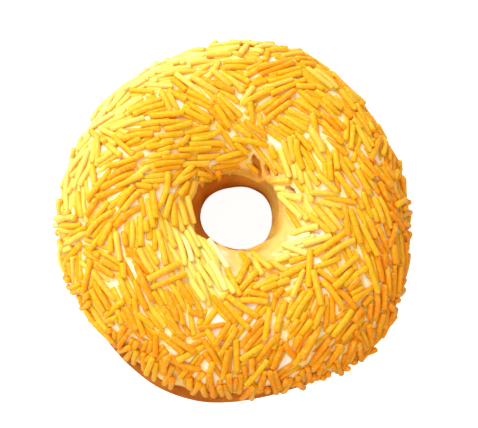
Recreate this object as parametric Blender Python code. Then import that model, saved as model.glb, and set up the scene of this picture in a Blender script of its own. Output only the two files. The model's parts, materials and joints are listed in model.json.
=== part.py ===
"""A frosted ring doughnut with a coat of sugar strands, as two solids.

"dough" is the fried ring, flat where it stands. "frosting" is the icing with its coat of strands, out to
the coat's uneven outside; it covers the top, stops a little above the crust's widest level at the front
and turns over the rim into the hole.

Metres, +Z up, +X to the right, +Y to the back. The origin is the middle of the doughnut's bounding box
at the level that it stands on.
"""

import math

import bpy
from mathutils import Vector

MM = 0.001

# The dough ring, in millimetres
RING_RADIUS = 42.9
HOLE_RADIUS = 8.75
HOLE_OFFSET = (0.0, 1.2)
WAIST_HEIGHT = 14.4
CROWN_RISE = 15.0
FOOT_DROP = 15.0
TOP_FULLNESS = 2.12
FOOT_FULLNESS = 2.12

# Unevenness of the hand-cut ring: (times round, size in millimetres, direction of a crest in degrees)
OUTLINE_WAVES = (
    (1, 1.1, 240.0), (2, 1.65, 86.0), (3, 0.5, 81.0), (4, 0.45, 65.0), (5, 0.2, 29.0), (6, 0.45, 15.0)
)
HOLE_WAVES = ((2, 0.25, 5.0), (3, 0.25, 55.0), (4, 0.15, 40.0))
CROWN_WAVES = ((1, 0.55, 205.0), (2, 0.40, 35.0), (3, 0.30, 150.0), (5, 0.20, 20.0))

# The frosting, in millimetres: a gap keeps it clear of the dough
CLEARANCE = 0.3
ICING_DEPTH = 1.3
STRAND_DEPTH = 1.7
LIP_RADIUS = 1.9
HOLE_LIP_RADIUS = 3.0
STRAND_RAMP = 4.0

# Low heaps and hollows of the strands: (times round the ring, times round the section, crest in degrees)
LUMP_HEIGHT = 0.11
LUMPS = ((7, 8, 17.0), (11, 5, 5.0))

# Where the frosting ends, as degrees round the section: 0 outside, 90 on the crown, 180 in the hole
OUTER_EDGE = -7.0
OUTER_EDGE_WAVES = ((5, 2.2, 20.0), (8, 1.8, 5.0), (13, 1.2, 11.0))
FRONT_RISE = 32.0
FRONT_DIRECTION = 256.0
FRONT_NARROWNESS = 2.1
HOLE_EDGE = 153.0
HOLE_EDGE_WAVES = ((4, 1.5, 20.0), (7, 1.5, 33.0))
HOLE_FALL = 21.0
HOLE_FALL_DIRECTION = -10.0
HOLE_FALL_NARROWNESS = 1.3
DRIP_FALL = 13.0
DRIP_DIRECTION = 62.0
DRIP_NARROWNESS = 22.0

# The frosting thins out towards its edge at the front: by this share, over this many millimetres
FRONT_THINNING = 0.65
FRONT_TAPER = 8.0

# It thins out towards the hole as well, most of all at the front right
HOLE_THINNING = 0.80
HOLE_TAPER = 6.0
HOLE_THINNEST = -60.0
HOLE_THINNEST_NARROWNESS = 0.6

# A bare, strand-free band of icing round the front right of the hole, in millimetres along the section
BARE_BAND = 1.0
BARE_BAND_EXTRA = 5.0
BARE_DIRECTION = -25.0

# Facets
SEGMENTS_ROUND = 72
DOUGH_SEGMENTS = 30
FROSTING_SEGMENTS = 38
TORUS_RADII = (3.0, 1.0)
PROBE = math.radians(0.5)


def waves(angle, terms):
    """The sum of cosines that each term describes, at an angle round the ring in radians."""
    return sum(size * math.cos(times * (angle - math.radians(crest))) for times, size, crest in terms)


def lobe(angle, direction, narrowness):
    """1 in the given direction in degrees, and less to both sides of it."""
    return math.exp(narrowness * (math.cos(angle - math.radians(direction)) - 1.0))


def smoothstep(value):
    value = min(max(value, 0.0), 1.0)
    return value * value * (3.0 - 2.0 * value)


def powered(value, fullness):
    """A cosine or sine of a circle made one of a fuller, squarer oval."""
    return math.copysign(abs(value) ** (2.0 / fullness), value)


def section(around):
    """Middle, outward direction and half width of the ring's section at an angle round it."""
    outward = Vector((math.cos(around), math.sin(around), 0.0))
    outside = outward * (RING_RADIUS + waves(around, OUTLINE_WAVES))
    inside = Vector((*HOLE_OFFSET, 0.0)) + outward * (HOLE_RADIUS + waves(around, HOLE_WAVES))
    across = outside - inside
    return (outside + inside) / 2.0, across.normalized(), across.length / 2.0


def round_point(around, over):
    """A point of the ring's section before its foot is flattened."""
    middle, outward, half_width = section(around)
    on_top = math.sin(over) >= 0.0
    fullness = TOP_FULLNESS if on_top else FOOT_FULLNESS
    reach = CROWN_RISE + waves(around, CROWN_WAVES) if on_top else FOOT_DROP
    point = middle + outward * (half_width * powered(math.cos(over), fullness))
    point.z = WAIST_HEIGHT + reach * powered(math.sin(over), fullness)
    return point


def dough_point(around, over):
    point = round_point(around, over)
    point.z = max(point.z, 0.0)
    return point


def outward_normal(around, over):
    along_ring = round_point(around + PROBE, over) - round_point(around - PROBE, over)
    along_section = round_point(around, over + PROBE) - round_point(around, over - PROBE)
    return along_ring.cross(along_section).normalized()


def outer_edge(around):
    """Where the frosting ends on the outside, in radians round the section."""
    rise = FRONT_RISE * lobe(around, FRONT_DIRECTION, FRONT_NARROWNESS)
    return math.radians(OUTER_EDGE + rise + waves(around, OUTER_EDGE_WAVES))


def hole_edge(around):
    """Where the frosting ends in the hole, in radians round the section."""
    fall = HOLE_FALL * lobe(around, HOLE_FALL_DIRECTION, HOLE_FALL_NARROWNESS)
    drip = DRIP_FALL * lobe(around, DRIP_DIRECTION, DRIP_NARROWNESS)
    return math.radians(HOLE_EDGE + fall + drip + waves(around, HOLE_EDGE_WAVES))


def lip(distance, radius):
    """The share of the full depth this far from the frosting's edge, which is rounded over."""
    inward = 1.0 - min(distance / radius, 1.0)
    return math.sqrt(1.0 - inward * inward)


def taper(thinning, distance, length):
    """The share of the full depth that is left this far from an edge that thins out over a length."""
    return 1.0 - thinning * (1.0 - smoothstep(distance / length))


def lumps(around, over):
    """How far the heaps and hollows of the strands rise, in millimetres."""
    return LUMP_HEIGHT * sum(
        math.cos(round_times * (around - math.radians(crest))) * math.cos(over_times * over)
        for round_times, over_times, crest in LUMPS
    )


def coat_depth(around, over, from_outside, from_hole):
    """Depth of icing and strands, in millimetres, at these distances from the frosting's two edges."""
    bare = BARE_BAND + BARE_BAND_EXTRA * lobe(around, BARE_DIRECTION, 1.0)
    strands = STRAND_DEPTH + lumps(around, over)
    covered = smoothstep((from_hole - bare) / STRAND_RAMP)
    front = taper(FRONT_THINNING * lobe(around, FRONT_DIRECTION, FRONT_NARROWNESS), from_outside, FRONT_TAPER)
    hole = taper(HOLE_THINNING * lobe(around, HOLE_THINNEST, HOLE_THINNEST_NARROWNESS), from_hole, HOLE_TAPER)
    edges = lip(from_outside, LIP_RADIUS) * front * lip(from_hole, HOLE_LIP_RADIUS) * hole
    return (ICING_DEPTH + strands * covered) * edges


def frosting_point(around, turn):
    """A point of the frosting's closed section: out over the coat to the hole, and back along the dough."""
    start = outer_edge(around)
    sweep = hole_edge(around) - start
    share = (1.0 - math.cos(turn)) / 2.0
    over = start + share * sweep
    arc = sweep * section(around)[2]
    depth = CLEARANCE
    if math.sin(turn) > 0.0:
        depth += coat_depth(around, over, share * arc, (1.0 - share) * arc)
    return round_point(around, over) + outward_normal(around, over) * depth


def material(name, colour, roughness):
    made = bpy.data.materials.new(name)
    made.use_nodes = True
    shader = made.node_tree.nodes["Principled BSDF"]
    shader.inputs["Base Color"].default_value = (*colour, 1.0)
    shader.inputs["Roughness"].default_value = roughness
    shader.inputs["Metallic"].default_value = 0.0
    made.diffuse_color = (*colour, 1.0)
    return made


def ring(name, collection, segments, shape, finish):
    """A torus whose points are moved to where shape(angle round the ring, angle round the section) says."""
    major, minor = TORUS_RADII
    bpy.ops.mesh.primitive_torus_add(
        major_segments=SEGMENTS_ROUND, minor_segments=segments, major_radius=major, minor_radius=minor
    )
    made = bpy.context.object
    made.name = name
    for vertex in made.data.vertices:
        x, y, z = vertex.co
        around = math.atan2(y, x)
        over = math.atan2(z, math.hypot(x, y) - major)
        vertex.co = shape(around, over) * MM
    made.data.shade_smooth()
    made.data.materials.append(finish)
    for holder in made.users_collection:
        holder.objects.unlink(made)
    collection.objects.link(made)
    return made


def middle_of(pieces):
    """The middle of the pieces' bounding box, on the level that they stand on."""
    points = [vertex.co for piece in pieces for vertex in piece.data.vertices]
    low = Vector(min(point[axis] for point in points) for axis in range(3))
    high = Vector(max(point[axis] for point in points) for axis in range(3))
    return Vector(((low.x + high.x) / 2.0, (low.y + high.y) / 2.0, low.z))


def main():
    for old in list(bpy.data.objects):
        bpy.data.objects.remove(old)
    collection = bpy.data.collections.new("frosted_doughnut")
    bpy.context.scene.collection.children.link(collection)

    crust = material("browned_crust", (0.58, 0.21, 0.03), 0.6)
    coat = material("icing_and_strands", (0.93, 0.56, 0.04), 0.45)
    dough = ring("dough", collection, DOUGH_SEGMENTS, dough_point, crust)
    frosting = ring("frosting", collection, FROSTING_SEGMENTS, frosting_point, coat)

    stand = bpy.data.objects.new("doughnut", None)
    collection.objects.link(stand)
    stand.location = -middle_of([dough, frosting])
    for piece in (dough, frosting):
        piece.parent = stand


main()
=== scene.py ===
"""Looks of a frosted ring doughnut: the fried crust, the icing and its coat of sugar strands."""

import json
import math

import bmesh
import bpy
import numpy as np
from bpy.props import FloatProperty, FloatVectorProperty, IntProperty, PointerProperty
from bpy.types import Operator, Panel, PropertyGroup
from mathutils import Matrix, Vector
from mathutils.bvhtree import BVHTree
from mathutils.kdtree import KDTree


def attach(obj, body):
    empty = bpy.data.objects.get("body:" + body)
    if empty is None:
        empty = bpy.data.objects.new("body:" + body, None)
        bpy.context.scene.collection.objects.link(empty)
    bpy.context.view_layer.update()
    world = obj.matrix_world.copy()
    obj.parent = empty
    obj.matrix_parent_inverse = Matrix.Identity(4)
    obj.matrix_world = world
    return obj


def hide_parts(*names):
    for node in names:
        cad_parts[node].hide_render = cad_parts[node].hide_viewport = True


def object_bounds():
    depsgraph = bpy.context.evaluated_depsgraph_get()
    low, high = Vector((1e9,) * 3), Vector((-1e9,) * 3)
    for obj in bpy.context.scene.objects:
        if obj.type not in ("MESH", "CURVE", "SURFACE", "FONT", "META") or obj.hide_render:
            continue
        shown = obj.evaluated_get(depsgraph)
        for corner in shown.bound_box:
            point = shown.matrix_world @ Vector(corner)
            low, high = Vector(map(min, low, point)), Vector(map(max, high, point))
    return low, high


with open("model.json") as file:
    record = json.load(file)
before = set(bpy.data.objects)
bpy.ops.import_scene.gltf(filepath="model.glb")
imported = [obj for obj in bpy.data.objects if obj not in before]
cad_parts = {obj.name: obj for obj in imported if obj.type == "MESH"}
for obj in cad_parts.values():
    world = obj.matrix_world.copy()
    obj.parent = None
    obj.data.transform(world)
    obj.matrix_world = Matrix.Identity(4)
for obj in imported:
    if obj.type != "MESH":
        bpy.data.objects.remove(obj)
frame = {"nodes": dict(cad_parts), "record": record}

bl_info = {
    "name": "Frosted doughnut",
    "version": (1, 0),
    "blender": (4, 5, 0),
    "location": "3D View > Sidebar > Doughnut",
    "description": "Dresses the doughnut's solids with a fried crust, icing and sugar strands",
    "category": "Object",
}

MM = 0.001
CAD_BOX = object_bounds()

# The gap between the two solids, and how far from the hole's middle the icing's edge still counts as in it
SOLID_GAP = 0.3 * MM
HOLE_REACH = 16.0 * MM

# Icing: what is its outside, and how near its edge it is closed down on the dough
OUTSIDE_FROM = 1.5 * SOLID_GAP
CLOSED_BELOW = 1.2 * SOLID_GAP
CLOSED_RISE = 0.12
CLOSED_MOST = 0.4 * MM
FEATHER_START = 0.04
OUTSIDE_CUTS = 3

# How narrow the parts of the icing and of the coat are that differ from the rest: larger is narrower
THIN_NARROWNESS = 1.2
DRIP_NARROWNESS = 6.0
RETREAT_NARROWNESS = 2.5
FRONT_NARROWNESS = 2.1
BARE_NARROWNESS = 1.5
RAGGED_NARROWNESS = 3.0
HANGING_NARROWNESS = 1.2
# How narrow the painted highlight on the strands near the hole is
HOLE_HIGHLIGHT_NARROWNESS = 0.7

# How thin the icing looks at its edges, and how steeply that sets in
OUTER_THINNESS = 0.95
HOLE_THINNESS = 0.82
DRIP_THINNESS = 0.88
LEAST_WIDENING = 0.15
DRIP_STEEPNESS = 2.0
SMEAR_STEEPNESS = 2.0

# A strand as a row of balls: how many, and how far in the last ones sit, in radii
BALLS = 9
BALL_INSET = 0.8
FINE_STEPS = 4 * BALLS
STRAIGHT_BELOW = 1.0

# How strands come to rest: on neighbours this near, on icing this far down, and pressed this far together
NEIGHBOURS = 11.5 * MM
REACH = 5.0 * MM
SQUEEZE = 0.72
PRESSED_PART = 0.35
OVERHANG_DROP = 0.35
OVERLAP_FROM = 0.1
STEEPEST = 0.32
HIGHEST = 1.1 * MM
HANGING_OUTSIDE = 4
HANGING_IN_HOLE = 0
NO_DISTANCE = 1e-6
NO_DIVISOR = 1e-9

# How places for them are picked, and when to stop
PLACES = 14000
TRIES = 12
PATIENCE = 1500
COVERED_PART = 0.9
SHIFT_PART = 0.6
LEAST_SHIFT = 0.1 * MM
SINK_VARIATION = (0.8, 1.2)
SLOPE_COST = 2.0 * MM
OVERLAP_COST = 1.2 * MM

# Where the coat ends
FRINGE = 3.5 * MM
OUTER_MARGIN = 0.3 * MM
RETREAT_BARE = 1.8 * MM
RAGGED_HOLE = 1.1 * MM
RAGGED_HOLE_WITHIN = 14.0 * MM
RAGGED_HOLE_DIRECTION = math.radians(15.0)
RAGGED_HOLE_NARROWNESS = 2.0

# The kinds of strands with their shares, and how strands vary
KINDS = {"straight": 0.34, "bent": 0.54, "broken": 0.12}
BROKEN_PARTS = (0.28, 0.50)
USUAL_LENGTH_PART = 0.72
LEAST_BEND = 10.0
USUAL_BEND = 30.0
BEND_TURN_SPREAD = 0.75
RADIUS_SPREAD = 0.06
TINTS = (0.15, 0.45, 0.85)
PALEST = -0.5
DEEPEST = 1.0
# The side of the hole where strands get a painted highlight
HOLE_HIGHLIGHT_DIRECTION = math.radians(-75.0)

# Which way strands lie: the chances of a choice, and how far they stray from it, in radians
HANGING_SHARE = 0.75
HANGING_SPREAD = 0.3
HANGING_LEAST_SLOPE = 0.3
NEIGHBOUR_CHANCE = 0.6
NEIGHBOUR_SPREAD = 0.15
BESIDE_SLOT_SPREAD = 0.12
NEARLY_ALONG_X = 0.8

# Slots in the coat beside the hole: direction and distance of both ends, and half the width in the middle
SLOTS = (
    (77.5, 13.8 * MM, 56.5, 10.6 * MM, 0.95 * MM),
    (60.5, 13.4 * MM, 47.0, 11.8 * MM, 0.6 * MM),
    (47.0, 13.6 * MM, 40.0, 12.8 * MM, 0.5 * MM),
    (24.5, 13.3 * MM, 13.0, 14.3 * MM, 0.45 * MM),
)
SLOTS_REACH = 12.0 * MM
BESIDE_SLOT = 2.6 * MM
SLOT_RIM = 1.0 * MM

# Room round the slots, in radii of a strand: bare, to the strands beside them and to all the others
SLOT_BARE = 0.5
SLOT_OFFSET = 0.9
SLOT_CLEARANCE = 0.95
SLOT_CROWDING = 1.6
SLOT_FREE = 0.7
LEAN_PASSES = 2
ABOVE_ALL = 1.0

# Two strands that stick straight out of the coat at the side
NUB_DIRECTIONS = (math.radians(182.3), math.radians(184.6))
NUB_HEIGHT = 18.0 * MM
NUB_LENGTH = 4.4 * MM
NUB_REACH = 0.4 * MM
NUB_TINT = -0.3

# How the icing climbs: from this part of its lip inwards, up strands this many radii above it
CREEP_FROM = 0.5
CREEP_UNDER = 3.0

# A strand's mesh
STRAND_SIDES = 8
END_ROUNDING = 0.45
END_SEGMENTS = 2
BENT_CUTS = 3

# Stage
AIM_HEIGHT = 14.0 * MM
FLOOR_WIDTH = 3.0
CAMERA_SHIFT = (0.0098, 0.0090)


# --- Settings ---


def length(name, description, default, **limits):
    return FloatProperty(
        name=name, description=description, default=default, unit="LENGTH", precision=5, **limits
    )


def angle(name, description, degrees):
    return FloatProperty(name=name, description=description, default=math.radians(degrees), subtype="ANGLE")


def plain(name, description, default):
    return FloatProperty(name=name, description=description, default=default)


def share(name, description, default):
    return FloatProperty(
        name=name, description=description, default=default, min=0.0, max=1.0, subtype="FACTOR"
    )


def colour(name, description, default):
    return FloatVectorProperty(
        name=name, description=description, default=default, size=3, min=0.0, max=1.0, subtype="COLOR"
    )


class CrustSettings(PropertyGroup):
    wrinkle_height: length("Wrinkles", "How deep the fried skin puckers", 0.16 * MM)
    wrinkle_size: length("Wrinkle size", "How far apart the puckers lie", 5.0 * MM)
    golden: colour("Golden", "The palest fried dough", (0.59, 0.180, 0.014))
    brown: colour("Brown", "The well fried dough", (0.41, 0.102, 0.012))
    dark: colour("Dark", "The darkest patches and pores", (0.24, 0.050, 0.004))


class IcingSettings(PropertyGroup):
    depth: length("Depth", "How thick the icing is away from its edges", 1.45 * MM)
    lip: length("Outer lip", "How far its outer edge is rounded", 1.6 * MM)
    front_lip: length("Front lip", "How far it thins out towards its outer edge at the front", 6.0 * MM)
    front_direction: angle("Front direction", "Where its outer edge is highest on the crust", 256.0)
    retreat: length("Retreat", "How far it stops short of the hole where most", 2.2 * MM)
    retreat_direction: angle("Retreat direction", "The side of the hole where it stops short", 195.0)
    drip_direction: angle("Drip direction", "The side of the hole that it drips into", 50.0)
    drip_edge: length("Drip edge", "How far in from the hole it is thin there", 11.0 * MM)
    hole_lip: length("Hole lip", "How far it thins out towards the hole where it does so most", 7.0 * MM)
    sink: length("Sink", "How far its underside goes into the dough", 0.15 * MM)
    creep: length("Creep", "How far it climbs up the strands that lie in it", 0.30 * MM)
    creep_reach: length("Creep reach", "How far from a strand it starts to climb", 1.0 * MM)
    white: colour("White", "The icing itself", (0.98, 0.96, 0.92))
    lemon: colour("Lemon", "The icing where the strands' dye has run into it", (0.97, 0.72, 0.20))
    bare: colour("Bare", "The smooth icing near the hole", (0.90, 0.62, 0.19))
    glaze: colour("Glaze", "The icing where it thins out over the crust", (0.97, 0.52, 0.075))
    outer_thin_edge: length("Outer thin edge", "How far in from outside the crust shines through", 5.0 * MM)
    smear: length("Smear", "How far beyond its edge in the hole it smears the crust", 5.0 * MM)
    thin_direction: angle("Thin direction", "The side of the hole where it is thin farthest in", -10.0)
    thin_edge: length("Thin edge", "How far in from the hole the crust shines through, where most", 17.0 * MM)


class StrandSettings(PropertyGroup):
    most: IntProperty(name="Most", description="No more strands than this", default=1900, min=1)
    cover: share("Cover", "How much of the icing the strands hide", 0.94)
    radius: length("Radius", "Half the thickness of a strand", 0.78 * MM)
    shortest: length("Shortest", "The shortest whole strand", 5.6 * MM)
    longest: length("Longest", "The longest whole strand", 10.5 * MM)
    bend: plain("Bend", "The sharpest bend, as one over its radius in metres", 130.0)
    sink: length("Sink", "How far the first strands press into the icing", 0.90 * MM)
    ragged: length("Ragged", "How far a strand may reach out of the coat's even outside", 0.7 * MM)
    ragged_extra: length("Ragged extra", "How much farther that is on the raggedest side", 0.9 * MM)
    ragged_direction: angle("Ragged direction", "The raggedest side", -38.0)
    bare_band: length("Bare band", "Icing without strands round the hole", 0.7 * MM)
    bare_extra: length("Bare extra", "How much wider that band is at its widest", 9.0 * MM)
    bare_direction: angle("Bare direction", "Where that band is at its widest", -55.0)
    drip_bare: length("Bare drip", "How much wider that band is where the icing drips", 3.0 * MM)
    # Painted highlight: the next two make strands near the hole at the front paler, as if lit
    hole_highlight: plain("Washed out", "How much paler strands near the hole are", 1.25)
    hole_highlight_reach: length("Washed reach", "How far from the hole they are paler", 20.0 * MM)
    deeper: plain("Deeper", "How much deeper all the strands are", 0.12)
    # Painted light and shade: the next three make strands on slopes that face the key light paler and those
    # facing away deeper
    slope_light_and_shade: plain("Deepening", "How much paler or deeper slopes are", 0.45)
    slope_highlight: plain("Paling", "How much paler the steepest pale slopes are still", 0.45)
    painted_light_direction: angle("Pale direction", "The side that slopes with paler strands face", 130.0)
    seed: IntProperty(name="Seed", description="Another number drops them another way", default=7)
    # Pale is the colour of the painted highlight: strands made paler as if lit, near the hole at the front
    # and on slopes facing the key light
    pale: colour("Pale", "The strands that the icing near the hole has washed out", (0.98, 0.90, 0.50))
    lemon: colour("Lemon", "The lightest of the other strands", (0.96, 0.73, 0.17))
    yellow: colour("Yellow", "Most of the strands", (0.95, 0.48, 0.010))
    orange: colour("Orange", "The deepest strands", (0.92, 0.32, 0.003))


class StageSettings(PropertyGroup):
    azimuth: angle("Azimuth", "The side that the camera looks from", -15.0)
    elevation: angle("Elevation", "How steeply the camera looks down", 75.0)
    distance: length("Distance", "From the camera to the doughnut", 0.40)
    lens: plain("Lens", "Focal length on a 36 mm sensor, in millimetres", 121.0)
    key_power: plain("Key light", "Power of the large soft lamp", 2.75)
    fill_power: plain("Fill light", "Power of the weaker lamp in front", 1.0)
    sky: plain("Room light", "Strength of the even light of the room", 0.80)
    floor_glow: plain("Floor glow", "How much the pale floor shines", 0.9)


SETTINGS = {"crust": CrustSettings, "icing": IcingSettings, "strands": StrandSettings, "stage": StageSettings}


def settings(name):
    return getattr(bpy.context.scene, "doughnut_" + name)


# --- Mesh helpers ---


def deselect_all():
    if bpy.context.mode != "OBJECT":
        bpy.ops.object.mode_set(mode="OBJECT")
    bpy.ops.object.select_all(action="DESELECT")


def make_active(piece):
    deselect_all()
    piece.select_set(True)
    bpy.context.view_layer.objects.active = piece


def apply_modifier(piece, name, kind, **values):
    modifier = piece.modifiers.new(name, kind)
    for key, value in values.items():
        setattr(modifier, key, value)
    make_active(piece)
    bpy.ops.object.modifier_apply(modifier=modifier.name)


def subdivide_smoothly(piece, levels):
    apply_modifier(piece, "Subdivision", "SUBSURF", levels=levels, render_levels=levels)


def quad_copy(node, name):
    """A copy of a solid as one clean mesh of four-sided faces."""
    source = frame["nodes"][node]
    piece = bpy.data.objects.new(name, source.data.copy())
    bpy.context.scene.collection.objects.link(piece)
    piece.data.materials.clear()
    make_active(piece)
    bpy.ops.object.mode_set(mode="EDIT")
    bpy.ops.mesh.select_all(action="SELECT")
    bpy.ops.mesh.remove_doubles(threshold=0.01 * MM)
    bpy.ops.mesh.customdata_custom_splitnormals_clear()
    bpy.ops.mesh.mark_sharp(clear=True)
    bpy.ops.mesh.tris_convert_to_quads(face_threshold=math.pi, shape_threshold=math.pi)
    bpy.ops.object.mode_set(mode="OBJECT")
    return piece


def coordinates(mesh):
    found = np.empty(len(mesh.vertices) * 3, dtype=np.float32)
    mesh.vertices.foreach_get("co", found)
    return found.reshape(-1, 3).astype(float)


def point_attribute(mesh, name, values):
    attribute = mesh.attributes.new(name, "FLOAT", "POINT")
    attribute.data.foreach_set("value", np.asarray(values, dtype=np.float32))


def tree_of(piece):
    return BVHTree.FromObject(piece, bpy.context.evaluated_depsgraph_get())


def finish_piece(piece, slot, *nodes):
    piece.data.shade_smooth()
    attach(piece, "root")
    if nodes:
        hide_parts(*nodes)


# --- Materials ---


class Wiring:
    """Adds nodes to a tree and links them, so that a material reads from its colour to its shader."""

    def __init__(self, tree):
        self.tree = tree

    def feed(self, socket, value):
        """Links an input to another node's output, or sets it to a number or a colour."""
        if isinstance(value, bpy.types.NodeSocket):
            self.tree.links.new(value, socket)
        else:
            socket.default_value = (*value, 1.0) if socket.type == "RGBA" else value

    def node(self, kind, values=None, **fields):
        made = self.tree.nodes.new(kind)
        for field, value in fields.items():
            setattr(made, field, value)
        for socket, value in (values or {}).items():
            self.feed(made.inputs[socket], value)
        return made

    def effect(self, group, **values):
        """Places a node group with its own values, and gives its one output."""
        made = self.node("ShaderNodeGroup", node_tree=group)
        for socket, value in values.items():
            self.feed(made.inputs[socket], value)
        return made.outputs[0]

    def noise(self, where, scale, detail=3.0, roughness=0.5, distortion=0.0):
        made = self.node(
            "ShaderNodeTexNoise",
            {
                "Vector": where,
                "Scale": scale,
                "Detail": detail,
                "Roughness": roughness,
                "Distortion": distortion,
            },
        )
        return made.outputs["Fac"]

    def ramp(self, value, low, high):
        """0 below low and 1 above high, smoothly."""
        made = self.node("ShaderNodeMapRange", {"Value": value, "From Min": low, "From Max": high})
        made.interpolation_type = "SMOOTHSTEP"
        return made.outputs["Result"]

    def mix(self, factor, first, second):
        made = self.node("ShaderNodeMix", data_type="RGBA")
        for socket, value in ((0, factor), (6, first), (7, second)):
            self.feed(made.inputs[socket], value)
        return made.outputs[2]

    def math(self, operation, first, second=0.0):
        made = self.node("ShaderNodeMath", operation=operation)
        for socket, value in enumerate((first, second)):
            self.feed(made.inputs[socket], value)
        return made.outputs["Value"]

    def attribute(self, name):
        return self.node("ShaderNodeAttribute", attribute_name=name).outputs["Fac"]

    def bump(self, height, distance, strength=1.0):
        made = self.node(
            "ShaderNodeBump", {"Height": height, "Distance": distance, "Strength": strength}
        )
        return made.outputs["Normal"]


def shared_group(name, inputs, output, kind, wire):
    """A node group with these named sockets, which is built once and placed in every material that asks."""
    if name not in bpy.data.node_groups:
        tree = bpy.data.node_groups.new(name, "ShaderNodeTree")
        for socket, socket_kind in inputs.items():
            tree.interface.new_socket(socket, in_out="INPUT", socket_type=socket_kind)
        tree.interface.new_socket(output, in_out="OUTPUT", socket_type=kind)
        wiring = Wiring(tree)
        wiring.node("NodeGroupOutput", {output: wire(wiring, wiring.node("NodeGroupInput").outputs)})
    return bpy.data.node_groups[name]


def speckle(wiring, given):
    strong = wiring.ramp(given["Pattern"], given["Low"], given["High"])
    part = wiring.math("MULTIPLY", strong, given["Amount"])
    return wiring.mix(part, given["Ground"], given["Speckle"])


def vary_sheen(wiring, given):
    spread = wiring.math("MULTIPLY", given["Pattern"], given["Spread"])
    return wiring.math("ADD", spread, given["Least"])


def speckles_group():
    """Speckles of another colour where a pattern is strong."""
    numbers = dict.fromkeys(("Pattern", "Low", "High", "Amount"), "NodeSocketFloat")
    colours = dict.fromkeys(("Ground", "Speckle"), "NodeSocketColor")
    return shared_group("speckles", {**colours, **numbers}, "Colour", "NodeSocketColor", speckle)


def uneven_sheen_group():
    """A roughness that varies with a pattern."""
    numbers = dict.fromkeys(("Pattern", "Spread", "Least"), "NodeSocketFloat")
    return shared_group("uneven_sheen", numbers, "Roughness", "NodeSocketFloat", vary_sheen)


def new_material(name):
    material = bpy.data.materials.new(name)
    material.use_nodes = True
    material.node_tree.nodes.clear()
    wiring = Wiring(material.node_tree)
    where = wiring.node("ShaderNodeTexCoord").outputs["Object"]
    return material, wiring, where


def finish_material(wiring, base, roughness, normal, **constants):
    """The Principled shader: what varies is linked, and what is the same all over is set on the shader."""
    shader = wiring.node("ShaderNodeBsdfPrincipled")
    wiring.tree.links.new(base, shader.inputs["Base Color"])
    wiring.tree.links.new(roughness, shader.inputs["Roughness"])
    wiring.tree.links.new(normal, shader.inputs["Normal"])
    for socket, value in constants.items():
        shader.inputs[socket.replace("_", " ")].default_value = value
    output = wiring.node("ShaderNodeOutputMaterial")
    wiring.tree.links.new(shader.outputs["BSDF"], output.inputs["Surface"])


def crust_material():
    sizes = settings("crust")
    material, wiring, where = new_material("fried_crust")
    broad = wiring.noise(where, 90.0, detail=4.0, roughness=0.6)
    blotches = wiring.noise(where, 320.0, detail=5.0, roughness=0.65, distortion=0.4)
    grain = wiring.noise(where, 1500.0, detail=3.0, roughness=0.6)
    base = wiring.mix(wiring.ramp(broad, 0.35, 0.65), sizes.golden, sizes.brown)
    speckles = speckles_group()
    base = wiring.effect(
        speckles, Ground=base, Speckle=sizes.dark, Pattern=blotches, Low=0.50, High=0.78, Amount=1.0
    )
    base = wiring.effect(
        speckles, Ground=base, Speckle=sizes.golden, Pattern=grain, Low=0.60, High=0.80, Amount=0.35
    )
    base = wiring.mix(wiring.attribute("glazed"), base, settings("icing").glaze)
    roughness = wiring.effect(uneven_sheen_group(), Pattern=blotches, Spread=0.30, Least=0.45)
    coarse = wiring.math("MULTIPLY", blotches, 0.7)
    height = wiring.math("ADD", coarse, wiring.math("MULTIPLY", grain, 0.3))
    normal = wiring.bump(height, 0.25 * MM, 0.8)
    finish_material(
        wiring,
        base,
        roughness,
        normal,
        Subsurface_Weight=0.12,
        Subsurface_Scale=0.6 * MM,
        Specular_IOR_Level=0.1,
        IOR=1.15,
    )
    return material


def icing_material():
    sizes = settings("icing")
    material, wiring, where = new_material("white_icing")
    thin = wiring.attribute("thin")
    patches = wiring.noise(where, 260.0, detail=3.0, roughness=0.55)
    ripple = wiring.noise(where, 700.0, detail=2.0, roughness=0.5)
    dye = wiring.math("ADD", wiring.attribute("dye"), wiring.math("MULTIPLY", patches, 0.8))
    base = wiring.mix(wiring.ramp(dye, 0.95, 1.60), sizes.white, sizes.lemon)
    base = wiring.mix(wiring.ramp(thin, 0.05, 0.50), base, sizes.bare)
    base = wiring.mix(wiring.ramp(thin, 0.55, 0.88), base, sizes.glaze)
    base = wiring.mix(wiring.ramp(thin, 0.78, 1.05), base, settings("crust").golden)
    roughness = wiring.effect(uneven_sheen_group(), Pattern=patches, Spread=0.20, Least=0.16)
    normal = wiring.bump(ripple, 0.20 * MM, 0.6)
    finish_material(
        wiring,
        base,
        roughness,
        normal,
        Subsurface_Weight=0.35,
        Subsurface_Scale=1.2 * MM,
        Specular_IOR_Level=0.5,
        Coat_Weight=0.3,
        Coat_Roughness=0.12,
    )
    return material


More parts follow.
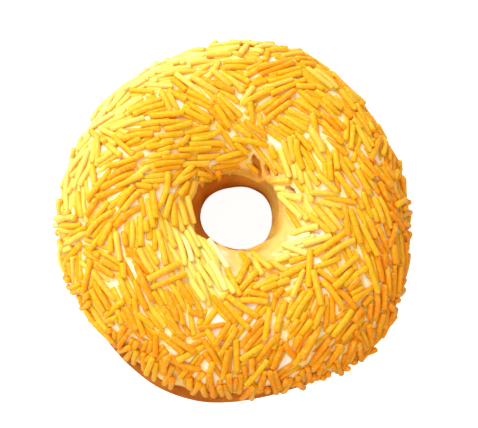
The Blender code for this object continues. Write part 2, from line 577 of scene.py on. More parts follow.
def strand_material():
    sizes = settings("strands")
    material, wiring, where = new_material("sugar_strand")
    tint = wiring.attribute("tint")
    mottle = wiring.noise(where, 900.0, detail=3.0, roughness=0.6)
    grain = wiring.noise(where, 3200.0, detail=2.0, roughness=0.6)
    # The tint holds each strand's own colour together with painted light and shade; below zero it is the
    # painted highlight, towards pale
    base = wiring.mix(wiring.ramp(tint, -0.5, 0.0), sizes.pale, sizes.lemon)
    base = wiring.mix(wiring.ramp(tint, 0.0, 0.5), base, sizes.yellow)
    base = wiring.mix(wiring.ramp(tint, 0.5, 1.0), base, sizes.orange)
    base = wiring.effect(
        speckles_group(), Ground=base, Speckle=sizes.lemon, Pattern=mottle, Low=0.45, High=0.75, Amount=0.4
    )
    # Painted shade: the lower sides of each strand, where shade falls towards the icing and its neighbours,
    # go deeper orange
    shaded_flank = wiring.ramp(wiring.attribute("up"), 0.75, -0.35)
    base = wiring.mix(wiring.math("MULTIPLY", shaded_flank, 0.48), base, sizes.orange)
    roughness = wiring.effect(uneven_sheen_group(), Pattern=grain, Spread=0.30, Least=0.22)
    normal = wiring.bump(grain, 0.05 * MM, 0.7)
    finish_material(
        wiring,
        base,
        roughness,
        normal,
        Subsurface_Weight=0.7,
        Subsurface_Scale=1.6 * MM,
        Specular_IOR_Level=0.14,
    )
    return material


# --- The dough and the icing ---


def wrinkle(piece, height, size):
    texture = bpy.data.textures.new("fried_skin", "CLOUDS")
    texture.noise_scale = size
    texture.noise_depth = 4
    apply_modifier(
        piece,
        "Wrinkles",
        "DISPLACE",
        texture=texture,
        texture_coords="LOCAL",
        strength=height,
        mid_level=0.5,
    )
    bpy.data.textures.remove(texture)
    for vertex in piece.data.vertices:
        vertex.co.z = max(vertex.co.z, CAD_BOX[0][2])


class DOUGHNUT_OT_fry_dough(Operator):
    """Makes the dough ring with its puckered, fried skin"""

    bl_idname = "doughnut.fry_dough"
    bl_label = "Dough ring"

    def execute(self, context):
        sizes = settings("crust")
        dough = quad_copy("dough", "dough_ring")
        subdivide_smoothly(dough, 2)
        wrinkle(dough, sizes.wrinkle_height * 2.0, sizes.wrinkle_size)
        dough.data.materials.append(crust_material())
        finish_piece(dough, "crust", "dough")
        return {"FINISHED"}


def signed_depth(place, dough_tree):
    """How far a place is above the dough's skin, or below it where it is negative."""
    nearest, normal, _, distance = dough_tree.find_nearest(place)
    return distance if (place - nearest).dot(normal) > 0.0 else -distance


def tree_of_points(points):
    tree = KDTree(len(points))
    for index, point in enumerate(points):
        tree.insert(point, index)
    tree.balance()
    return tree


def rim_points(mesh, outside):
    """The points along the icing's two edges, where its outside meets its underside."""
    pairs = [edge.vertices for edge in mesh.edges]
    return [
        mesh.vertices[first if outside[second] else second].co.copy()
        for first, second in pairs
        if outside[first] != outside[second]
    ]


def in_hole(place, axis):
    return math.hypot(place.x - axis.x, place.y - axis.y) < HOLE_REACH


def rounded(part):
    """The height of a rounded edge, from 0 at the edge to 1 where part is 1 and beyond."""
    inward = 1.0 - min(part, 1.0)
    return math.sqrt(1.0 - inward * inward)


def feathered(part):
    """The height of an edge that thins out gradually, from 0 to 1 where part is 1 and beyond."""
    part = min(part, 1.0)
    return FEATHER_START + (1.0 - FEATHER_START) * part * part * (3.0 - 2.0 * part)


def refine_outside(icing, outside, cuts):
    """Divides the faces on the icing's outside into smaller ones."""
    make_active(icing)
    bpy.ops.object.mode_set(mode="EDIT")
    mesh = bmesh.from_edit_mesh(icing.data)
    for face in mesh.faces:
        face.select_set(all(outside[vertex.index] for vertex in face.verts))
    bmesh.update_edit_mesh(icing.data)
    bpy.ops.mesh.subdivide(number_cuts=cuts)
    bpy.ops.object.mode_set(mode="OBJECT")


def glaze_crust(rims, axis):
    """Marks how much the crust in the hole is smeared with icing below the icing's own edge."""
    sizes = settings("icing")
    mesh = bpy.data.objects["dough_ring"].data
    glazed = []
    for vertex in mesh.vertices:
        close = max(0.0, 1.0 - rims.find(vertex.co)[2] / sizes.smear)
        front = lobe(vertex.co, axis, sizes.thin_direction, THIN_NARROWNESS)
        glazed.append(min(1.0, SMEAR_STEEPNESS * close) * front if in_hole(vertex.co, axis) else 0.0)
    point_attribute(mesh, "glazed", glazed)


class DOUGHNUT_OT_pour_icing(Operator):
    """Makes the icing as thin as real icing, with rounded edges that sit on the dough"""

    bl_idname = "doughnut.pour_icing"
    bl_label = "Icing"

    def execute(self, context):
        sizes = settings("icing")
        dough_tree = tree_of(bpy.data.objects["dough_ring"])
        icing = quad_copy("frosting", "white_icing")
        subdivide_smoothly(icing, 1)
        mesh = icing.data
        outside = [signed_depth(vertex.co, dough_tree) > OUTSIDE_FROM for vertex in mesh.vertices]
        rims = tree_of_points(rim_points(mesh, outside))
        refine_outside(icing, outside, OUTSIDE_CUTS)
        axis = hole_centre()
        slots = Slots(axis)
        thin = []
        for vertex in mesh.vertices:
            nearest, normal, _, distance = dough_tree.find_nearest(vertex.co)
            rim, _, reach = rims.find(vertex.co)
            from_rim = reach
            hole_side = in_hole(rim, axis)
            if hole_side:
                thin_side = lobe(vertex.co, axis, sizes.thin_direction, THIN_NARROWNESS)
                widening = LEAST_WIDENING + (1.0 - LEAST_WIDENING) * thin_side
                drip = lobe(vertex.co, axis, sizes.drip_direction, DRIP_NARROWNESS)
                from_rim -= sizes.retreat * lobe(vertex.co, axis, sizes.retreat_direction, RETREAT_NARROWNESS)
                dripping = DRIP_STEEPNESS * drip * (1.0 - from_rim / sizes.drip_edge)
                dripping = DRIP_THINNESS * min(1.0, dripping)
                thinning = max(0.0, 1.0 - from_rim / (sizes.thin_edge * widening), dripping)
                thin.append(min(thinning, HOLE_THINNESS))
                shape = feathered(from_rim / (sizes.hole_lip * widening))
            else:
                front = lobe(vertex.co, Vector(), sizes.front_direction, FRONT_NARROWNESS)
                thin.append(OUTER_THINNESS * max(0.0, 1.0 - from_rim / sizes.outer_thin_edge))
                shape = rounded(from_rim / sizes.lip)
                shape += (feathered(from_rim / sizes.front_lip) - shape) * front
            outer = distance > CLOSED_BELOW + min(CLOSED_RISE * reach, CLOSED_MOST)
            if not outer or from_rim < 0.0 or slots.gap(nearest) < 0.0:
                shape = 0.0
            depth = sizes.depth * shape if shape > 0.0 else -sizes.sink
            away = (vertex.co - nearest).normalized()
            vertex.co = nearest + (away if away.dot(normal) > 0.0 else -away) * depth
        mesh.update()
        point_attribute(mesh, "thin", thin)
        glaze_crust(rims, axis)
        mesh.materials.append(icing_material())
        finish_piece(icing, "coat", "frosting")
        return {"FINISHED"}


def lobe(place, axis, direction, narrowness):
    """1 where a place lies in this direction from the axis, and less to both sides of it."""
    towards = math.atan2(place[1] - axis[1], place[0] - axis[0])
    return math.exp(narrowness * (math.cos(towards - direction) - 1.0))


class Slots:
    """The dark slots between the strands beside the hole, seen from above."""

    def __init__(self, axis):
        self.lines = []
        for first, start, second, end, half in SLOTS:
            near, far = (
                np.array((axis.x + reach * math.cos(towards), axis.y + reach * math.sin(towards)))
                for towards, reach in ((math.radians(first), start), (math.radians(second), end))
            )
            self.lines.append((near, far - near, half))
        self.middle = sum(near + span / 2.0 for near, span, _ in self.lines) / len(self.lines)

    def gap(self, place):
        """How far a place is from the side of the nearest slot, and below zero in a slot."""
        place = np.array(place[:2])
        if np.abs(place - self.middle).max() > SLOTS_REACH:
            return SLOTS_REACH
        gaps = []
        for near, span, half in self.lines:
            part = min(max((place - near) @ span / (span @ span), 0.0), 1.0)
            apart = np.linalg.norm(place - near - part * span)
            gaps.append(apart - half * math.sqrt(math.sin(math.pi * part)))
        return min(gaps)

    def sides(self, away):
        """A place this far to each side of every slot, unless it is in one, and the way along that slot."""
        found = []
        for near, span, half in self.lines:
            across = np.array((-span[1], span[0])) / np.linalg.norm(span)
            for side in (-1.0, 1.0):
                place = near + span / 2.0 + across * side * (half + away)
                crowded = any(np.linalg.norm(place - other) < SLOT_CROWDING * away for other, _ in found)
                if self.gap(place) > SLOT_FREE * away and not crowded:
                    found.append((place, np.append(span, 0.0)))
        return found

    def along(self, place):
        """The direction along a slot that is close to this place, or None."""
        for near, span, _ in self.lines:
            if np.linalg.norm(near + span / 2.0 - place[:2]) < BESIDE_SLOT:
                return np.append(span, 0.0)
        return None


def hole_centre():
    """The middle of the hole, from the box that the record states for it."""
    low, high = frame["record"]["physics"]["openings"][0]["box_m"]
    return Vector(((low[0] + high[0]) / 2.0, (low[1] + high[1]) / 2.0, 0.0))


# --- The sugar strands ---


def sides_of(mesh_object, dough_tree):
    """For each triangle of the icing: its corners, and whether it is on the icing's outside."""
    mesh = mesh_object.data
    mesh.calc_loop_triangles()
    points = coordinates(mesh)
    corners = np.array([triangle.vertices[:] for triangle in mesh.loop_triangles])
    normals = np.array([triangle.normal[:] for triangle in mesh.loop_triangles])
    middles = points[corners].mean(axis=1)
    outside = np.zeros(len(corners), dtype=bool)
    for index, middle in enumerate(middles):
        nearest, _, _, distance = dough_tree.find_nearest(Vector(middle))
        away = middle - np.array(nearest)
        outside[index] = distance > SOLID_GAP and away @ normals[index] > 0.0
    return points, corners[outside], normals[outside]


class Places:
    """Random places on the outside of the icing, and which of them no strand covers yet."""

    def __init__(self, icing, dough_tree, rims, axis, slots, random):
        points, corners, normals = sides_of(icing, dough_tree)
        first, second, third = (points[corners[:, corner]] for corner in range(3))
        areas = np.linalg.norm(np.cross(second - first, third - first), axis=1) / 2.0
        picked = random.choice(len(areas), size=PLACES, p=areas / areas.sum())
        weights = random.dirichlet((1.0, 1.0, 1.0), size=PLACES)
        self.places = (points[corners[picked]] * weights[:, :, None]).sum(axis=1)
        self.normals = normals[picked]
        self.tree = tree_of_points([Vector(place) for place in self.places])
        nearest = [rims.find(Vector(place)) for place in self.places]
        self.rims = [rim for rim, _, _ in nearest]
        self.rim_distances = [distance for _, _, distance in nearest]
        self.wanted = np.array([
            not in_bare_band(Vector(place), rim, distance, axis, slots)
            for place, rim, distance in zip(self.places, self.rims, self.rim_distances)
        ])
        self.open = self.wanted.copy()
        self.random = random

    def draw(self):
        return self.random.choice(np.flatnonzero(self.open))

    def beside(self, index, direction, shift):
        """The place nearest to one shifted along the given direction from this one."""
        if abs(shift) < LEAST_SHIFT:
            return index
        return self.tree.find(Vector(self.places[index] + direction * shift))[1]

    def cover(self, strand):
        """Marks the places that lie under a strand."""
        close = np.flatnonzero(np.abs(self.places - strand.place).max(axis=1) < strand.half + strand.radius)
        gaps = self.places[close, None] - strand.fine_spine()[None]
        up = (gaps * self.normals[close, None]).sum(axis=2)
        sideways = (gaps ** 2).sum(axis=2) - up ** 2
        under = (sideways < (COVERED_PART * strand.radius) ** 2).any(axis=1)
        self.open[close[under]] = False

    def covered(self):
        return 1.0 - self.open.sum() / self.wanted.sum()


class Strand:
    """One strand's own shape, and where it came to lie."""

    def __init__(self, kind, half, radius, bend, bend_turn, tint, twist):
        self.kind = kind
        self.half = half
        self.radius = radius
        self.bend = bend
        self.bend_turn = bend_turn
        self.tint = tint
        self.twist = twist
        self.steps = np.linspace(-1.0, 1.0, BALLS) * (half - radius * BALL_INSET)
        self.spine = self.curved(np.column_stack((self.steps, np.zeros(BALLS), np.zeros(BALLS))))

    def curved(self, points):
        """Points of a straight strand along X, moved to where its bend puts them."""
        along, side, up = points.T
        if abs(self.bend) < STRAIGHT_BELOW:
            return points.copy()
        cosine = math.cos(self.bend_turn)
        sine = math.sin(self.bend_turn)
        inward = side * cosine + up * sine
        other = up * cosine - side * sine
        turn = along * self.bend
        reach = 1.0 / self.bend
        towards = reach - (reach - inward) * np.cos(turn)
        return np.column_stack((
            (reach - inward) * np.sin(turn),
            towards * cosine - other * sine,
            towards * sine + other * cosine,
        ))

    def fine_spine(self):
        steps = np.linspace(-self.half, self.half, FINE_STEPS)
        spine = self.curved(np.column_stack((steps, np.zeros(len(steps)), np.zeros(len(steps)))))
        return self.place + spine @ self.axes

    def settle(self, place, frame_axes):
        self.place = place
        self.axes = frame_axes
        self.balls = place + self.spine @ frame_axes


class Heap:
    """The strands laid so far. Each is a row of balls, on which the next ones come to rest."""

    def __init__(self, ground, icing_faces, dough_tree, coat_tree, count):
        self.ground = ground
        self.icing_faces = icing_faces
        self.dough_tree = dough_tree
        self.coat_tree = coat_tree
        self.balls = np.empty((count * BALLS, 3))
        self.radii = np.empty(count * BALLS)
        self.along = np.empty((count * BALLS, 3))
        self.filled = 0
        self.strands = []

    def near(self, place):
        balls = self.balls[: self.filled]
        close = np.abs(balls - place).max(axis=1) < NEIGHBOURS
        return balls[close], self.radii[: self.filled][close], self.along[: self.filled][close]

    def heights_needed(self, strand, centres, normal, sink, near_balls, near_radii):
        """How far each ball of a strand has to be raised to clear the icing and what lies on it."""
        away = Vector(normal)
        needed = -OVERHANG_DROP * np.abs(strand.steps)
        over_icing = np.zeros(BALLS, dtype=bool)
        for index, centre in enumerate(centres):
            above = Vector(centre) + away * REACH
            hit, _, face, distance = self.ground.ray_cast(above, -away, 2.0 * REACH)
            if hit is not None:
                needed[index] = max(needed[index], REACH - distance + strand.radius - sink)
                over_icing[index] = face < self.icing_faces
        bare = needed.copy()
        if len(near_balls):
            apart = near_balls[None] - centres[:, None]
            up = apart @ normal
            sideways = (apart ** 2).sum(axis=2) - up ** 2
            room = ((near_radii + strand.radius) * SQUEEZE) ** 2 - sideways
            lifted = np.where(room > 0.0, up + np.sqrt(np.maximum(room, 0.0)), -1.0)
            needed = np.maximum(needed, lifted.max(axis=1))
        return needed, bare, over_icing

    def rest(self, strand, place, normal, direction, sink, near):
        """Lowers a strand until it lies on two supports, one to each side of its middle."""
        side = np.cross(normal, direction)
        axes = np.array((direction, side, normal))
        centres = place + strand.spine @ axes
        needed, bare, over_icing = self.heights_needed(strand, centres, normal, sink, near[0], near[1])
        height, slope = bridge(strand.steps, needed)
        lowest, _ = bridge(strand.steps, bare)
        overlap = (needed > bare + OVERLAP_FROM * strand.radius).mean()
        slack = (height + slope * strand.steps - needed)[over_icing]
        pressed = PRESSED_PART * min(slack.mean(), strand.radius) if over_icing.any() else 0.0
        return height - pressed, slope, height - lowest, overlap, BALLS - over_icing.sum()

    def reach_out(self, centres, radius):
        """How far a strand with these balls reaches out of the solid coat, or up from the bare crust."""
        reaches = []
        for centre in map(Vector, centres):
            above_coat = signed_depth(centre, self.coat_tree)
            above_dough = signed_depth(centre, self.dough_tree)
            reaches.append(min(above_coat, above_dough - radius))
        return max(reaches) + radius

    def add(self, strand):
        rows = slice(self.filled, self.filled + BALLS)
        self.balls[rows] = strand.balls
        self.radii[rows] = strand.radius
        self.along[rows] = strand.axes[0]
        self.filled += BALLS
        self.strands.append(strand)


def bridge(steps, needed):
    """Height and slope of a stiff rod that lies over points this high, at these steps along it."""
    half = len(steps) // 2
    left, right = steps[: half + 1, None], steps[None, half:]
    low, high = needed[: half + 1, None], needed[None, half:]
    gap = np.maximum(right - left, NO_DIVISOR)
    middle = np.where(right - left > NO_DISTANCE, (low * right - high * left) / gap, low)
    row, column = np.unravel_index(middle.argmax(), middle.shape)
    slope = 0.0
    if right[0, column] - left[row, 0] > NO_DISTANCE:
        slope = (high[0, column] - low[row, 0]) / gap[row, column]
    return middle[row, column], slope


def unit(vector):
    return vector / np.linalg.norm(vector)


def draw_strand(random):
    """A new strand: whole and straight, whole and bent, or broken off short."""
    sizes = settings("strands")
    kind = random.choice(tuple(KINDS), p=tuple(KINDS.values()))
    if kind == "broken":
        half = random.uniform(*BROKEN_PARTS) * sizes.shortest
    else:
        half = random.triangular(sizes.shortest, USUAL_LENGTH_PART * sizes.longest, sizes.longest) / 2.0
    bend = random.triangular(LEAST_BEND, USUAL_BEND, sizes.bend) if kind == "bent" else 0.0
    return Strand(
        kind,
        half,
        sizes.radius * random.normal(1.0, RADIUS_SPREAD),
        bend,
        random.normal(-math.pi / 2.0, BEND_TURN_SPREAD),
        random.triangular(*TINTS),
        random.uniform(0.0, 2.0 * math.pi),
    )


def strand_direction(random, place, normal, near, rim_distance, slots):
    """Along the icing: any way, or beside a neighbour or a slot, or down over the outer edge."""
    chance = random.random()
    up_slope = np.array((0.0, 0.0, 1.0)) - normal * normal[2]
    front = settings("icing").front_direction
    hanging = HANGING_SHARE * lobe(place, (0.0, 0.0), front, HANGING_NARROWNESS)
    beside_slot = slots.along(place)
    if beside_slot is not None:
        base = unit(beside_slot - normal * (beside_slot @ normal))
        spread = BESIDE_SLOT_SPREAD
    elif rim_distance < FRINGE and chance < hanging and np.linalg.norm(up_slope) > HANGING_LEAST_SLOPE:
        base = unit(up_slope)
        spread = HANGING_SPREAD
    elif len(near[0]) and chance < NEIGHBOUR_CHANCE:
        closest = ((near[0] - place) ** 2).sum(axis=1).argmin()
        base = near[2][closest]
        base = unit(base - normal * (base @ normal))
        spread = NEIGHBOUR_SPREAD
    else:
        helper = np.array((1.0, 0.0, 0.0)) if abs(normal[0]) < NEARLY_ALONG_X else np.array((0.0, 1.0, 0.0))
        base = unit(np.cross(normal, helper))
        spread = math.pi
    turn = random.uniform(-spread, spread)
    return base * math.cos(turn) + np.cross(normal, base) * math.sin(turn)


def laid(place, normal, direction, height, slope):
    """Where a strand comes to lie at this height and slope, and its three axes there."""
    along = unit(direction + slope * normal)
    side = unit(np.cross(normal, along))
    return place + normal * height, np.array((along, side, np.cross(along, side)))


def lay_beside_slots(places, heap, random, slots):
    """Lays the strands that the slots lie between."""
    sizes = settings("strands")
    for spot, span in slots.sides(SLOT_OFFSET * sizes.radius):
        strand = draw_strand(random)
        lean = np.zeros(3)
        for _ in range(LEAN_PASSES):
            above = Vector((spot[0] - lean[0], spot[1] - lean[1], ABOVE_ALL))
            hit, _, _, _ = heap.ground.ray_cast(above, Vector((0.0, 0.0, -1.0)))
            normal = places.normals[places.tree.find(hit)[1]]
            direction = unit(span - normal * (span @ normal))
            place = np.array(hit)
            height, slope = heap.rest(strand, place, normal, direction, sizes.sink, heap.near(place))[:2]
            lean = normal * height
        strand.settle(*laid(place, normal, direction, height, slope))
        heap.add(strand)
        places.cover(strand)


def lay_nubs(heap, random):
    """Lays the strands that stick straight out of the coat at the side, close together."""
    sizes = settings("strands")
    for towards in NUB_DIRECTIONS:
        outward = Vector((math.cos(towards), math.sin(towards), 0.0))
        height = Vector((0.0, 0.0, NUB_HEIGHT))
        hit, _, _, _ = heap.ground.ray_cast(height + outward * CAD_BOX[1][0] * 2.0, -outward)
        twist = random.uniform(0.0, math.pi)
        strand = Strand("broken", NUB_LENGTH / 2.0, sizes.radius, 0.0, 0.0, NUB_TINT, twist)
        place = np.array(hit + outward * NUB_REACH)
        strand.settle(place, laid(place, np.array((0.0, 0.0, 1.0)), np.array(outward), 0.0, 0.0)[1])
        heap.add(strand)


def drop_strands(places, heap, random, axis, slots):
    """Drops the strands one at a time, each into the best of a few random places."""
    sizes = settings("strands")
    unplaced = 0
    while len(heap.strands) < sizes.most and unplaced < PATIENCE and places.covered() < sizes.cover:
        strand = draw_strand(random)
        best = None
        for _ in range(TRIES):
            index = places.draw()
            place, normal = places.places[index], places.normals[index]
            near = heap.near(place)
            direction = strand_direction(random, place, normal, near, places.rim_distances[index], slots)
            index = places.beside(index, direction, random.uniform(-SHIFT_PART, SHIFT_PART) * strand.half)
            if not places.wanted[index]:
                continue
            place, normal = places.places[index], places.normals[index]
            direction = unit(direction - normal * (direction @ normal))
            sink = sizes.sink * random.uniform(*SINK_VARIATION)
            height, slope, above, overlap, hanging = heap.rest(strand, place, normal, direction, sink, near)
            rim, rim_distance = places.rims[index], places.rim_distances[index]
            hole_side = in_hole(rim, axis)
            most_hanging = HANGING_IN_HOLE if hole_side else HANGING_OUTSIDE
            if abs(slope) > STEEPEST or above > HIGHEST or hanging > most_hanging:
                continue
            cost = above + SLOPE_COST * abs(slope) + OVERLAP_COST * overlap
            if best is not None and cost > best[0]:
                continue
            place, axes = laid(place, normal, direction, height, slope)
            centres = place + strand.spine @ axes
            ragged = lobe(place, axis, sizes.ragged_direction, RAGGED_NARROWNESS)
            farthest = sizes.ragged + sizes.ragged_extra * ragged
            if hole_side and rim_distance < RAGGED_HOLE_WITHIN:
                farthest += RAGGED_HOLE * lobe(place, axis, RAGGED_HOLE_DIRECTION, RAGGED_HOLE_NARROWNESS)
            if heap.reach_out(centres[:: BALLS // 2], strand.radius) > farthest:
                continue
            if min(slots.gap(centre) for centre in centres) < SLOT_CLEARANCE * strand.radius:
                continue
            # Painted light and shade go into the strand's tint here
            tint = painted_light_tint(strand.tint, place, normal, rim, rim_distance, axis)
            best = (cost, place, axes, tint)
        if best is None:
            unplaced += 1
            continue
        strand.settle(best[1], best[2])
        strand.tint = best[3]
        heap.add(strand)
        places.cover(strand)


def in_bare_band(place, rim, distance, axis, slots):
    """Whether a place is in the band round the hole that has no strands."""
    sizes = settings("strands")
    if not in_hole(rim, axis):
        return distance < OUTER_MARGIN
    if slots.gap(place) < SLOT_BARE * sizes.radius:
        return True
    width = sizes.bare_band + sizes.bare_extra * lobe(place, axis, sizes.bare_direction, BARE_NARROWNESS)
    width += sizes.drip_bare * lobe(place, axis, settings("icing").drip_direction, DRIP_NARROWNESS)
    width += RETREAT_BARE * lobe(place, axis, settings("icing").retreat_direction, RETREAT_NARROWNESS)
    return distance < width


def painted_light_tint(tint, place, normal, rim, rim_distance, axis):
    """Painted light and shade: paler, as if lit, on slopes to the back left and near the hole at the front,
    and deeper, as if shaded, on the others.
    """
    sizes = settings("strands")
    slope = normal[0] * math.cos(sizes.painted_light_direction) + normal[1] * math.sin(sizes.painted_light_direction)
    tint += sizes.deeper - sizes.slope_light_and_shade * slope - sizes.slope_highlight * max(slope, 0.0) ** 2
    # Painted highlight on the strands near the hole at the front
    if in_hole(rim, axis):
        close = max(0.0, 1.0 - rim_distance / sizes.hole_highlight_reach)
        tint -= sizes.hole_highlight * close * lobe(place, axis, HOLE_HIGHLIGHT_DIRECTION, HOLE_HIGHLIGHT_NARROWNESS)
    return min(max(tint, PALEST), DEEPEST)


def creep_up_strands(icing, heap, dough_tree, rims):
    """Raises the icing along the strands that lie in it, and marks where their dye has run into it."""
    sizes = settings("icing")
    spines = tree_of_points([Vector(point) for strand in heap.strands for point in strand.fine_spine()])
    radius = settings("strands").radius
    dye = []
    for vertex in icing.data.vertices:
        nearest, normal, _, distance = dough_tree.find_nearest(vertex.co)
        outward = (vertex.co - nearest).normalized()
        place, _, apart = spines.find(vertex.co)
        gap = place - vertex.co
        rise = gap.dot(outward)
        sideways = (gap - outward * rise).length
        near = max(0.0, 1.0 - max(sideways - radius, 0.0) / sizes.creep_reach)
        inland = min(rims.find(vertex.co)[2] / sizes.lip - CREEP_FROM, 1.0)
        dye.append(near)
        if inland > 0.0 and outward.dot(normal) > 0.0 and rise < CREEP_UNDER * radius:
            vertex.co += outward * (sizes.creep * near * near * (3.0 - 2.0 * near) * inland)
    icing.data.update()
    point_attribute(icing.data, "dye", dye)


def model_strand(name, cuts):
    """One strand along X, modelled at a whole strand's size, with blunt, rounded ends."""
    sizes = settings("strands")
    deselect_all()
    bpy.ops.mesh.primitive_cylinder_add(
        vertices=STRAND_SIDES,
        radius=sizes.radius,
        depth=sizes.longest,
        end_fill_type="NGON",
        rotation=(0.0, math.radians(90.0), 0.0),
    )
    piece = bpy.context.object
    piece.name = name
    bpy.ops.object.transform_apply(location=False, rotation=True, scale=False)
    bpy.ops.object.mode_set(mode="EDIT")
    mesh = bmesh.from_edit_mesh(piece.data)
    for edge in mesh.edges:
        edge.select_set(all(abs(vertex.co.x) > sizes.longest * 0.49 for vertex in edge.verts))
        edge.select_set(edge.select and abs(edge.verts[0].co.x - edge.verts[1].co.x) < sizes.radius * 0.1)
    bmesh.update_edit_mesh(piece.data)
    bpy.ops.mesh.bevel(offset=sizes.radius * END_ROUNDING, segments=END_SEGMENTS, affect="EDGES")
    if cuts:
        mesh = bmesh.from_edit_mesh(piece.data)
        for edge in mesh.edges:
            edge.select_set(abs(edge.verts[0].co.x - edge.verts[1].co.x) > sizes.longest * 0.5)
        bmesh.update_edit_mesh(piece.data)
        bpy.ops.mesh.subdivide(number_cuts=cuts)
    bpy.ops.object.mode_set(mode="OBJECT")
    return piece


def copies_of(pattern, strands):
    """All these strands as one mesh: its points, faces and tints, and how far up each point is in radii."""
    sizes = settings("strands")
    points = coordinates(pattern.data)
    faces = [list(face.vertices) for face in pattern.data.polygons]
    cap = sizes.radius * END_ROUNDING
    body = sizes.longest / 2.0 - cap
    inner = np.clip(points[:, 0], -body, body)
    end = points[:, 0] - inner
    all_points, all_faces, tints, ups = [], [], [], []
    for number, strand in enumerate(strands):
        fatness = strand.radius / sizes.radius
        own = np.column_stack((
            inner / body * (strand.half - cap) + end,
            points[:, 1] * fatness,
            points[:, 2] * fatness,
        ))
        cosine, sine = math.cos(strand.twist), math.sin(strand.twist)
        side, up = own[:, 1].copy(), own[:, 2].copy()
        own[:, 1] = side * cosine - up * sine
        own[:, 2] = side * sine + up * cosine
        all_points.append(strand.place + strand.curved(own) @ strand.axes)
        offset = number * len(points)
        all_faces += [[offset + corner for corner in face] for face in faces]
        tints.append(np.full(len(points), strand.tint))
        ups.append(own[:, 2] / strand.radius)
    return np.concatenate(all_points), all_faces, np.concatenate(tints), np.concatenate(ups)


class DOUGHNUT_OT_scatter_strands(Operator):
    """Drops the sugar strands on the icing, layer over layer, and joins each kind into one mesh"""

    bl_idname = "doughnut.scatter_strands"
    bl_label = "Sugar strands"

    def execute(self, context):
        sizes = settings("strands")
        random = np.random.default_rng(sizes.seed)
        icing = bpy.data.objects["white_icing"]
        dough = bpy.data.objects["dough_ring"]
        dough_tree = tree_of(dough)
        axis = hole_centre()
        slots = Slots(axis)
        rims = icing_rims(icing, dough_tree, slots)
        places = Places(icing, dough_tree, rims, axis, slots, random)
        ground = joined_tree(icing, dough)
        coat_tree = joined_tree(frame["nodes"]["frosting"])
        heap = Heap(ground, len(icing.data.polygons), dough_tree, coat_tree, sizes.most)
        lay_beside_slots(places, heap, random, slots)
        lay_nubs(heap, random)
        drop_strands(places, heap, random, axis, slots)
        creep_up_strands(icing, heap, dough_tree, rims)
        material = strand_material()
        for kind in KINDS:
            pattern = model_strand("strand_" + kind, BENT_CUTS if kind == "bent" else 0)
            same = [strand for strand in heap.strands if strand.kind == kind]
            points, faces, tints, ups = copies_of(pattern, same)
            mesh = bpy.data.meshes.new("sugar_strands_" + kind)
            mesh.from_pydata(points.tolist(), [], faces)
            point_attribute(mesh, "tint", tints)
            point_attribute(mesh, "up", ups)
            piece = bpy.data.objects.new("sugar_strands_" + kind, mesh)
            context.scene.collection.objects.link(piece)
            bpy.data.objects.remove(pattern)
            mesh.materials.append(material)
            finish_piece(piece, "coat")
        return {"FINISHED"}


def icing_rims(icing, dough_tree, slots):
    """The icing's two edges: the points of it that lie on the dough's skin, except those round the slots."""
    outside = [signed_depth(vertex.co, dough_tree) > 0.0 for vertex in icing.data.vertices]
    points = rim_points(icing.data, outside)
    return tree_of_points([point for point in points if slots.gap(point) > SLOT_RIM])


def joined_tree(*pieces):
    points, faces = [], []
    for piece in pieces:
        offset = len(points)
        points += [vertex.co.copy() for vertex in piece.data.vertices]
        faces += [[offset + corner for corner in face.vertices] for face in piece.data.polygons]
    return BVHTree.FromPolygons(points, faces)


# --- Stage ---


def direction_from(azimuth, elevation):
    return Vector((
        math.sin(azimuth) * math.cos(elevation),
        -math.cos(azimuth) * math.cos(elevation),
        math.sin(elevation),
    ))


def soft_lamp(name, direction, distance, size, power, tint, aim):
    data = bpy.data.lights.new(name, "AREA")
    data.shape = "DISK"
    data.size = size
    data.energy = power
    data.color = tint
    lamp = bpy.data.objects.new(name, data)
    bpy.context.scene.collection.objects.link(lamp)
    lamp.location = aim + direction.normalized() * distance
    lamp.rotation_euler = (lamp.location - aim).to_track_quat("Z", "Y").to_euler()


class DOUGHNUT_OT_set_stage(Operator):
    """Makes the pale floor, the soft light and the camera"""

    bl_idname = "doughnut.set_stage"
    bl_label = "Stage"

    def execute(self, context):
        sizes = settings("stage")
        scene = context.scene
        deselect_all()
        bpy.ops.mesh.primitive_plane_add(size=FLOOR_WIDTH, location=(0.0, 0.0, CAD_BOX[0][2]))
        floor = context.object
        floor.name = "floor"
        floor.data.materials.append(floor_material(sizes.floor_glow))

        aim = Vector((0.0, 0.0, AIM_HEIGHT))
        back = direction_from(sizes.azimuth, sizes.elevation)
        soft_lamp(
            "key_light",
            aim=aim,
            direction=Vector((-0.52, 0.60, 0.72)),
            distance=0.55,
            size=0.40,
            power=sizes.key_power,
            tint=(1.0, 0.97, 0.92),
        )
        soft_lamp(
            "fill_light",
            aim=aim,
            direction=Vector((-0.40, -0.60, 0.70)),
            distance=0.6,
            size=0.5,
            power=sizes.fill_power,
            tint=(1.0, 0.88, 0.72),
        )
        world = bpy.data.worlds.new("studio")
        world.use_nodes = True
        sky = world.node_tree.nodes["Background"]
        sky.inputs["Color"].default_value = (1.0, 0.92, 0.78, 1.0)
        sky.inputs["Strength"].default_value = sizes.sky
        scene.world = world

        data = bpy.data.cameras.new("camera")
        data.lens = sizes.lens
        data.clip_start = 0.01
        camera = bpy.data.objects.new("camera", data)
        scene.collection.objects.link(camera)
        camera.location = aim + back * sizes.distance
        side = Vector((0.0, 1.0, 0.0)).cross(back).normalized()
        above = back.cross(side)
        camera.matrix_world = turned(side, above, back, camera.location)
        data.shift_x, data.shift_y = CAMERA_SHIFT
        scene.camera = camera
        scene.view_settings.view_transform = "Standard"
        return {"FINISHED"}


def turned(side, above, back, place):
    matrix = Matrix((side, above, back)).transposed().to_4x4()
    matrix.translation = place
    return matrix


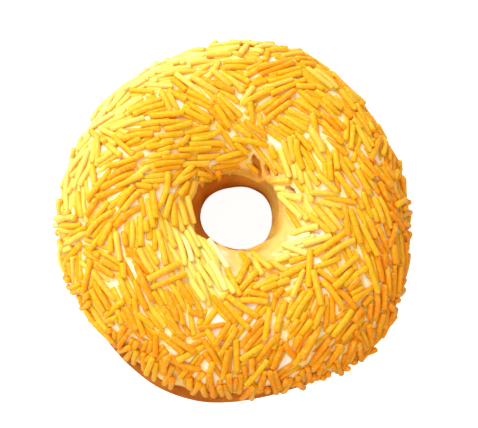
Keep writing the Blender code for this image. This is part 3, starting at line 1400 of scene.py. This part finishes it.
def floor_material(glow):
    """Pale, and shining to the camera alone, so that it stays pale in the object's shade."""
    material = bpy.data.materials.new("pale_floor")
    material.use_nodes = True
    nodes = material.node_tree.nodes
    shader = nodes["Principled BSDF"]
    shader.inputs["Base Color"].default_value = (0.6, 0.6, 0.6, 1.0)
    shader.inputs["Roughness"].default_value = 0.8
    shader.inputs["Emission Color"].default_value = (1.0, 1.0, 1.0, 1.0)
    wiring = Wiring(material.node_tree)
    seen = wiring.node("ShaderNodeLightPath").outputs["Is Camera Ray"]
    wiring.tree.links.new(wiring.math("MULTIPLY", seen, glow), shader.inputs["Emission Strength"])
    return material


# --- Add-on ---


class DOUGHNUT_PT_pieces(Panel):
    """Lists the doughnut's pieces in the order in which they are made"""

    bl_idname = "DOUGHNUT_PT_pieces"
    bl_label = "Doughnut"
    bl_space_type = "VIEW_3D"
    bl_region_type = "UI"
    bl_category = "Doughnut"

    def draw(self, context):
        for name in SETTINGS:
            group = getattr(context.scene, "doughnut_" + name)
            box = self.layout.box()
            box.label(text=name.capitalize())
            for field in group.bl_rna.properties:
                if field.identifier not in ("rna_type", "name"):
                    box.prop(group, field.identifier)
        for operator in OPERATORS:
            self.layout.operator(operator.bl_idname)


OPERATORS = (
    DOUGHNUT_OT_fry_dough,
    DOUGHNUT_OT_pour_icing,
    DOUGHNUT_OT_scatter_strands,
    DOUGHNUT_OT_set_stage,
)
CLASSES = (*SETTINGS.values(), *OPERATORS, DOUGHNUT_PT_pieces)


def register():
    for each in CLASSES:
        bpy.utils.register_class(each)
    for name, group in SETTINGS.items():
        setattr(bpy.types.Scene, "doughnut_" + name, PointerProperty(type=group))


def unregister():
    for name in SETTINGS:
        delattr(bpy.types.Scene, "doughnut_" + name)
    for each in reversed(CLASSES):
        bpy.utils.unregister_class(each)


def main():
    register()
    bpy.ops.doughnut.fry_dough()
    bpy.ops.doughnut.pour_icing()
    bpy.ops.doughnut.scatter_strands()
    bpy.ops.doughnut.set_stage()


if __name__ == "__main__":
    main()
